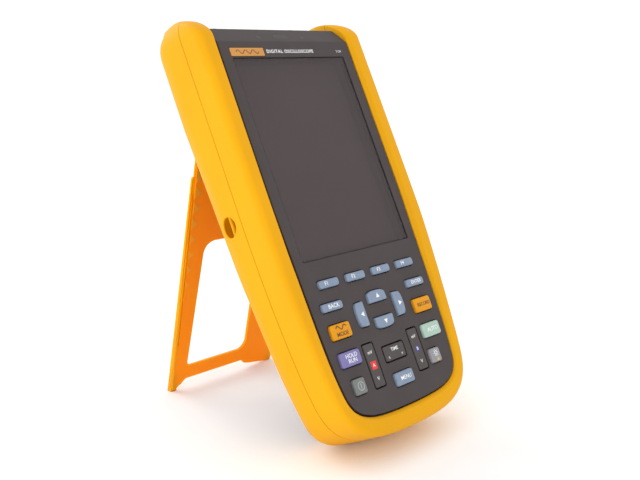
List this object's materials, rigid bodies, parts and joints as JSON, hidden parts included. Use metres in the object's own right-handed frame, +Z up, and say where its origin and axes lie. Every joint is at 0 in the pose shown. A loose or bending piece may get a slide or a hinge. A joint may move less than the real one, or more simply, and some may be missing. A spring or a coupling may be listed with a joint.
{
  "type": "handheld oscilloscope",
  "caption": "Handheld battery oscilloscope in a two-part rubber bumper, with portrait display, sprung keypad, top input jacks, battery door and a fold-out tilt stand.",
  "frame": {"origin": "middle of the bounding box on the surface the instrument stands on, with the tilt stand open", "axes": "+Z up, -Y towards the user that the fascia faces, +X to the user's right; the body leans back 27 degrees from vertical"},
  "size_m": [0.132, 0.1736, 0.2382],
  "materials": {
    "bumper_rubber": "satin moulded elastomer",
    "fascia_plastic": "fine textured",
    "case_plastic": "fine textured",
    "display_window": "polished clear window",
    "dark_plastic": "satin",
    "lcd": "switched-off liquid crystal panel",
    "badge": "satin label",
    "silicone_mat": "matt silicone",
    "circuit_board": "glass-fibre laminate",
    "sheet_metal": "tinned sheet",
    "battery_wrap": "shrink wrap",
    "screw_steel": "plated",
    "input_a_red": "satin",
    "input_b_grey": "satin",
    "connector_metal": "nickel plated",
    "port_window": "infrared window",
    "stand_plastic": "moulded nylon",
    "blue_key": "fine textured",
    "yellow_key": "fine textured",
    "purple_key": "fine textured",
    "green_key": "fine textured",
    "power_key": "fine textured",
    "light_key": "fine textured",
    "rocker_plastic": "fine textured"
  },
  "bodies": {
    "housing": {"front_bumper": "bumper_rubber", "rear_bumper": "bumper_rubber", "front_case": "fascia_plastic", "rear_case": "case_plastic", "display_lens": "display_window", "display_frame": "dark_plastic", "lcd_panel": "lcd", "badge_plate": "badge", "keypad_mat": "silicone_mat", "keypad_board": "circuit_board", "main_board": "circuit_board", "shield_can": "sheet_metal", "beeper": "dark_plastic", "battery_pack": "battery_wrap", "input_a_shroud": "input_a_red", "input_a_socket": "connector_metal", "input_b_shroud": "input_b_grey", "input_b_socket": "connector_metal", "com_jack": "dark_plastic", "dc_inlet": "dark_plastic", "optical_port": "port_window", "strap_bar_left": "bumper_rubber", "strap_bar_right": "bumper_rubber", "case_screw_1": "screw_steel", "case_screw_2": "screw_steel", "case_screw_3": "screw_steel", "case_screw_4": "screw_steel", "stand_hinge_pin": "screw_steel"},
    "tilt_stand": {"tilt_stand": "stand_plastic"},
    "battery_door": {"battery_door": "case_plastic"},
    "battery_door_screw": {"battery_door_screw": "screw_steel"},
    "key_f1": {"key_f1": "blue_key"},
    "key_f2": {"key_f2": "blue_key"},
    "key_f3": {"key_f3": "blue_key"},
    "key_f4": {"key_f4": "blue_key"},
    "key_back": {"key_back": "blue_key"},
    "key_enter": {"key_enter": "blue_key"},
    "key_up": {"key_up": "blue_key"},
    "key_left": {"key_left": "blue_key"},
    "key_down": {"key_down": "blue_key"},
    "key_right": {"key_right": "blue_key"},
    "key_mode": {"key_mode": "yellow_key"},
    "key_record": {"key_record": "yellow_key"},
    "key_hold_run": {"key_hold_run": "purple_key"},
    "key_auto": {"key_auto": "green_key"},
    "key_menu": {"key_menu": "blue_key"},
    "key_power": {"key_power": "power_key"},
    "key_light": {"key_light": "light_key"},
    "rocker_a": {"rocker_a": "rocker_plastic"},
    "rocker_b": {"rocker_b": "rocker_plastic"},
    "rocker_time": {"rocker_time": "rocker_plastic"}
  },
  "joints": [
    {"name": "stand_tilt", "type": "hinge", "parent": "housing", "child": "tilt_stand", "pos_m": [0, 0.04461, 0.18305], "axis": [1, 0, 0], "range_deg": [-39, 0]},
    {"name": "battery_door_hinge", "type": "hinge", "parent": "housing", "child": "battery_door", "pos_m": [0, -0.03521, 0.03079], "axis": [-1, 0, 0], "range_deg": [0, 60]},
    {"name": "door_screw_turn", "type": "hinge", "parent": "battery_door", "child": "battery_door_screw", "pos_m": [0, -0.00651, 0.08845], "axis": [0, -0.891, 0.454], "range_deg": [0, 90]},
    {"name": "key_f1_press", "type": "slide", "parent": "housing", "child": "key_f1", "axis": [0, 0.891, -0.454], "range_m": [0, 0.001], "stiffness_N_per_m": 400, "springref_m": -0.0005},
    {"name": "key_f2_press", "type": "slide", "parent": "housing", "child": "key_f2", "axis": [0, 0.891, -0.454], "range_m": [0, 0.001], "stiffness_N_per_m": 400, "springref_m": -0.0005},
    {"name": "key_f3_press", "type": "slide", "parent": "housing", "child": "key_f3", "axis": [0, 0.891, -0.454], "range_m": [0, 0.001], "stiffness_N_per_m": 400, "springref_m": -0.0005},
    {"name": "key_f4_press", "type": "slide", "parent": "housing", "child": "key_f4", "axis": [0, 0.891, -0.454], "range_m": [0, 0.001], "stiffness_N_per_m": 400, "springref_m": -0.0005},
    {"name": "key_back_press", "type": "slide", "parent": "housing", "child": "key_back", "axis": [0, 0.891, -0.454], "range_m": [0, 0.001], "stiffness_N_per_m": 400, "springref_m": -0.0005},
    {"name": "key_enter_press", "type": "slide", "parent": "housing", "child": "key_enter", "axis": [0, 0.891, -0.454], "range_m": [0, 0.001], "stiffness_N_per_m": 400, "springref_m": -0.0005},
    {"name": "key_up_press", "type": "slide", "parent": "housing", "child": "key_up", "axis": [0, 0.891, -0.454], "range_m": [0, 0.001], "stiffness_N_per_m": 400, "springref_m": -0.0005},
    {"name": "key_left_press", "type": "slide", "parent": "housing", "child": "key_left", "axis": [0, 0.891, -0.454], "range_m": [0, 0.001], "stiffness_N_per_m": 400, "springref_m": -0.0005},
    {"name": "key_down_press", "type": "slide", "parent": "housing", "child": "key_down", "axis": [0, 0.891, -0.454], "range_m": [0, 0.001], "stiffness_N_per_m": 400, "springref_m": -0.0005},
    {"name": "key_right_press", "type": "slide", "parent": "housing", "child": "key_right", "axis": [0, 0.891, -0.454], "range_m": [0, 0.001], "stiffness_N_per_m": 400, "springref_m": -0.0005},
    {"name": "key_mode_press", "type": "slide", "parent": "housing", "child": "key_mode", "axis": [0, 0.891, -0.454], "range_m": [0, 0.001], "stiffness_N_per_m": 400, "springref_m": -0.0005},
    {"name": "key_record_press", "type": "slide", "parent": "housing", "child": "key_record", "axis": [0, 0.891, -0.454], "range_m": [0, 0.001], "stiffness_N_per_m": 400, "springref_m": -0.0005},
    {"name": "key_hold_run_press", "type": "slide", "parent": "housing", "child": "key_hold_run", "axis": [0, 0.891, -0.454], "range_m": [0, 0.001], "stiffness_N_per_m": 400, "springref_m": -0.0005},
    {"name": "key_auto_press", "type": "slide", "parent": "housing", "child": "key_auto", "axis": [0, 0.891, -0.454], "range_m": [0, 0.001], "stiffness_N_per_m": 400, "springref_m": -0.0005},
    {"name": "key_menu_press", "type": "slide", "parent": "housing", "child": "key_menu", "axis": [0, 0.891, -0.454], "range_m": [0, 0.001], "stiffness_N_per_m": 400, "springref_m": -0.0005},
    {"name": "key_power_press", "type": "slide", "parent": "housing", "child": "key_power", "axis": [0, 0.891, -0.454], "range_m": [0, 0.001], "stiffness_N_per_m": 400, "springref_m": -0.0005},
    {"name": "key_light_press", "type": "slide", "parent": "housing", "child": "key_light", "axis": [0, 0.891, -0.454], "range_m": [0, 0.001], "stiffness_N_per_m": 400, "springref_m": -0.0005},
    {"name": "rocker_a_tilt", "type": "hinge", "parent": "housing", "child": "rocker_a", "pos_m": [-0.01935, -0.06843, 0.05064], "axis": [1, 0, 0], "range_deg": [-2.5, 2.5], "stiffness_Nm_per_rad": 0.1},
    {"name": "rocker_b_tilt", "type": "hinge", "parent": "housing", "child": "rocker_b", "pos_m": [0.01935, -0.06843, 0.05064], "axis": [1, 0, 0], "range_deg": [-2.5, 2.5], "stiffness_Nm_per_rad": 0.1},
    {"name": "rocker_time_tilt", "type": "hinge", "parent": "housing", "child": "rocker_time", "pos_m": [0, -0.06697, 0.05349], "axis": [0, 0.454, 0.891], "range_deg": [-3, 3], "stiffness_Nm_per_rad": 0.1}
  ]
}
